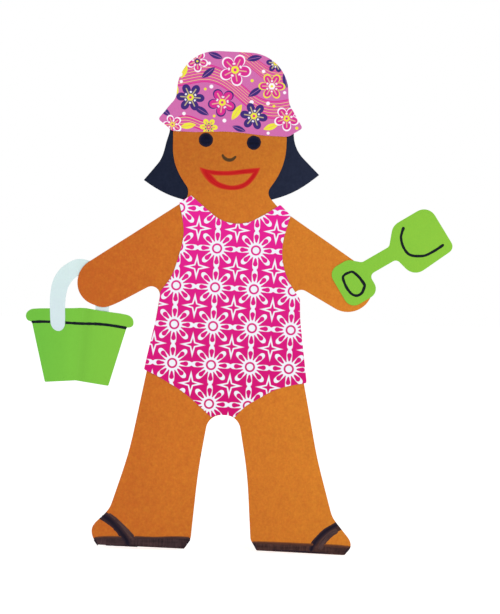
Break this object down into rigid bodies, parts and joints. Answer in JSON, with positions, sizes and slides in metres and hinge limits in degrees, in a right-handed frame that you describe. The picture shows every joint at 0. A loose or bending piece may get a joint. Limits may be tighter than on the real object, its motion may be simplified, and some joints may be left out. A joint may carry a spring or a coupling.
{
  "type": "paper doll",
  "caption": "Cut-paper doll standing with arms out: card figure with paper hair, printed sun hat and swimsuit, holding a folded paper bucket by its strip handle and a paper spade.",
  "frame": {"origin": "the point on the back of the card figure, on its axis, halfway up the trunk", "axes": "+Z from the soles up to the head, +X to the viewer's right, +Y out of the back, so the doll faces -Y"},
  "size_m": [0.2461, 0.0013, 0.2902],
  "materials": {
    "figure_card": "matte",
    "hair_paper": "matte",
    "hat_print": "printed, matte",
    "suit_print": "printed, matte",
    "bucket_paper": "matte",
    "spade_paper": "matte",
    "strip_paper": "matte",
    "adhesive": "clear satin",
    "black_ink": "felt pen on paper",
    "brown_ink": "felt pen on paper",
    "red_ink": "felt pen on paper",
    "sandal_ink": "felt pen on paper"
  },
  "bodies": {
    "figure": {"figure": "figure_card", "hair": "hair_paper", "eyes": "black_ink", "nose": "brown_ink", "smile": "red_ink", "left_sandal": "sandal_ink", "right_sandal": "sandal_ink"},
    "hat": {"hat": "hat_print", "hat_dots": "adhesive"},
    "swimsuit": {"swimsuit": "suit_print", "swimsuit_dots": "adhesive"},
    "spade": {"spade": "spade_paper", "spade_dot": "adhesive", "spade_grip_line": "black_ink", "spade_scoop_line": "black_ink"},
    "bucket": {"bucket": "bucket_paper", "bucket_handle": "strip_paper", "handle_dot": "adhesive", "bucket_rim_line": "black_ink"}
  },
  "joints": [
    {"name": "hat_lift", "type": "slide", "parent": "figure", "child": "hat", "axis": [0, -1, 0], "range_m": [0, 0.04]},
    {"name": "swimsuit_lift", "type": "slide", "parent": "figure", "child": "swimsuit", "axis": [0, -1, 0], "range_m": [0, 0.04]},
    {"name": "spade_lift", "type": "slide", "parent": "figure", "child": "spade", "axis": [0, -1, 0], "range_m": [0, 0.04]},
    {"name": "bucket_draw", "type": "slide", "parent": "figure", "child": "bucket", "axis": [-1, 0, 0], "range_m": [0, 0.04]}
  ]
}
